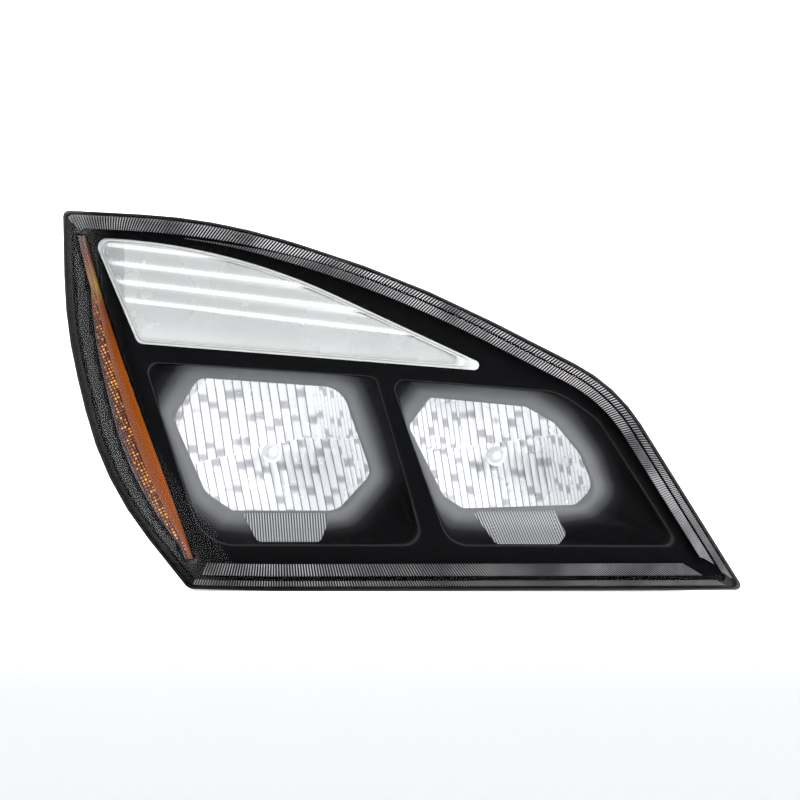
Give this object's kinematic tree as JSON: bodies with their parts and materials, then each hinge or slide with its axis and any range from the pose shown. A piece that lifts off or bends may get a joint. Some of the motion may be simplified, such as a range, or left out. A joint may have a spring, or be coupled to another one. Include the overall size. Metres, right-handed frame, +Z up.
{
  "type": "headlight assembly",
  "caption": "Swept wedge headlamp with low and high beam bowls, turn signal window and amber side reflector behind one wrap-round clear lens.",
  "frame": {"origin": "centre of the assembly's bounding box", "axes": "+X inboard along the lamp's long side, +Y to the rear of the vehicle, +Z up; the lamp shines towards -Y"},
  "size_m": [0.701, 0.3042, 0.3942],
  "materials": {
    "clear_polycarbonate": "clear, glossy",
    "clear_inner_lens": "clear, glossy",
    "amber_polycarbonate": "amber, glossy",
    "black_gloss_plastic": "piano black",
    "black_housing_plastic": "fine grain",
    "mirror_coating": "vacuum-metallised",
    "grey_plastic": "moulded",
    "white_nylon": "moulded",
    "zinc_plated_steel": "zinc plated",
    "clear_glass": "clear",
    "amber_glass": "amber",
    "black_rubber": "matte",
    "brass": "machined"
  },
  "bodies": {
    "lamp_body": {"housing": "black_housing_plastic", "lens_seal": "black_rubber", "outer_lens": "clear_polycarbonate", "bezel": "black_gloss_plastic", "turn_inner_lens": "clear_inner_lens", "turn_reflector": "mirror_coating", "side_reflex_lens": "amber_polycarbonate", "marker_reflector": "mirror_coating", "pivot_stud_outboard": "zinc_plated_steel", "pivot_stud_inboard": "zinc_plated_steel", "aim_bushing": "white_nylon", "inlet_header": "grey_plastic", "inlet_gasket": "black_rubber", "inlet_screw_1": "zinc_plated_steel", "inlet_screw_2": "zinc_plated_steel", "inlet_pin_1": "brass", "inlet_pin_2": "brass", "inlet_pin_3": "brass", "inlet_pin_4": "brass", "inlet_pin_5": "brass", "inlet_pin_6": "brass", "inlet_pin_7": "brass", "inlet_pin_8": "brass", "breather_cap_1": "black_rubber", "breather_cap_2": "black_rubber", "mount_insert_upper_outboard": "brass", "mount_insert_upper_inboard": "brass", "mount_insert_lower_inboard": "brass", "mount_insert_lower_outboard": "brass"},
    "reflector_unit": {"reflector_carrier": "grey_plastic", "low_beam_reflector": "mirror_coating", "high_beam_reflector": "mirror_coating", "pivot_socket_outboard": "white_nylon", "pivot_socket_inboard": "white_nylon", "aim_socket": "white_nylon", "low_beam_reflector_screw_1": "zinc_plated_steel", "low_beam_reflector_screw_2": "zinc_plated_steel", "low_beam_reflector_screw_3": "zinc_plated_steel", "high_beam_reflector_screw_1": "zinc_plated_steel", "high_beam_reflector_screw_2": "zinc_plated_steel", "high_beam_reflector_screw_3": "zinc_plated_steel"},
    "aim_nut_slider": {"aim_nut": "white_nylon"},
    "aim_screw_shaft": {"aim_screw": "zinc_plated_steel"},
    "low_beam_bulb": {"low_beam_bulb_base": "grey_plastic", "low_beam_bulb_glass": "clear_glass", "low_beam_bulb_seal": "black_rubber"},
    "high_beam_bulb": {"high_beam_bulb_base": "grey_plastic", "high_beam_bulb_glass": "clear_glass", "high_beam_bulb_seal": "black_rubber"},
    "low_beam_cap": {"low_beam_access_cap": "black_rubber", "low_beam_cap_seal": "black_rubber"},
    "high_beam_cap": {"high_beam_access_cap": "black_rubber", "high_beam_cap_seal": "black_rubber"},
    "turn_bulb_holder": {"turn_socket": "grey_plastic", "turn_socket_seal": "black_rubber", "turn_bulb": "amber_glass"},
    "marker_bulb_holder": {"marker_socket": "grey_plastic", "marker_socket_seal": "black_rubber", "marker_bulb": "clear_glass"}
  },
  "joints": [
    {"name": "reflector_tilt", "type": "hinge", "parent": "lamp_body", "child": "reflector_unit", "pos_m": [-0.0209, -0.0039, -0.0497], "axis": [1, 0, 0], "range_deg": [-3, 3]},
    {"name": "aim_nut_travel", "type": "slide", "parent": "lamp_body", "child": "aim_nut_slider", "axis": [0, 1, 0], "range_m": [-0.0047, 0.0047]},
    {"name": "aim_screw_turn", "type": "hinge", "parent": "lamp_body", "child": "aim_screw_shaft", "pos_m": [-0.0629, 0.1301, -0.1377], "axis": [0, 1, 0], "range_deg": [-1110, 1110]},
    {"name": "low_beam_bulb_twist", "type": "hinge", "parent": "reflector_unit", "child": "low_beam_bulb", "pos_m": [-0.1329, 0.0511, -0.0547], "axis": [0, 1, 0], "range_deg": [0, 45]},
    {"name": "high_beam_bulb_twist", "type": "hinge", "parent": "reflector_unit", "child": "high_beam_bulb", "pos_m": [0.0991, 0.0161, -0.0577], "axis": [0, 1, 0], "range_deg": [0, 45]},
    {"name": "low_beam_cap_twist", "type": "hinge", "parent": "lamp_body", "child": "low_beam_cap", "pos_m": [-0.1329, 0.1301, -0.0547], "axis": [0, 1, 0], "range_deg": [0, 45]},
    {"name": "high_beam_cap_twist", "type": "hinge", "parent": "lamp_body", "child": "high_beam_cap", "pos_m": [0.0991, 0.1301, -0.0577], "axis": [0, 1, 0], "range_deg": [0, 45]},
    {"name": "turn_socket_twist", "type": "hinge", "parent": "lamp_body", "child": "turn_bulb_holder", "pos_m": [-0.1909, 0.1301, 0.0953], "axis": [0, 1, 0], "range_deg": [0, 45]},
    {"name": "marker_socket_twist", "type": "hinge", "parent": "lamp_body", "child": "marker_bulb_holder", "pos_m": [-0.2809, 0.1301, 0.0083], "axis": [0, 1, 0], "range_deg": [0, 45]}
  ],
  "couplings": [
    {"joint": "aim_nut_travel", "follows": "reflector_tilt", "m_per_rad": 0.088},
    {"joint": "aim_screw_turn", "follows": "reflector_tilt", "ratio": -368.61}
  ]
}
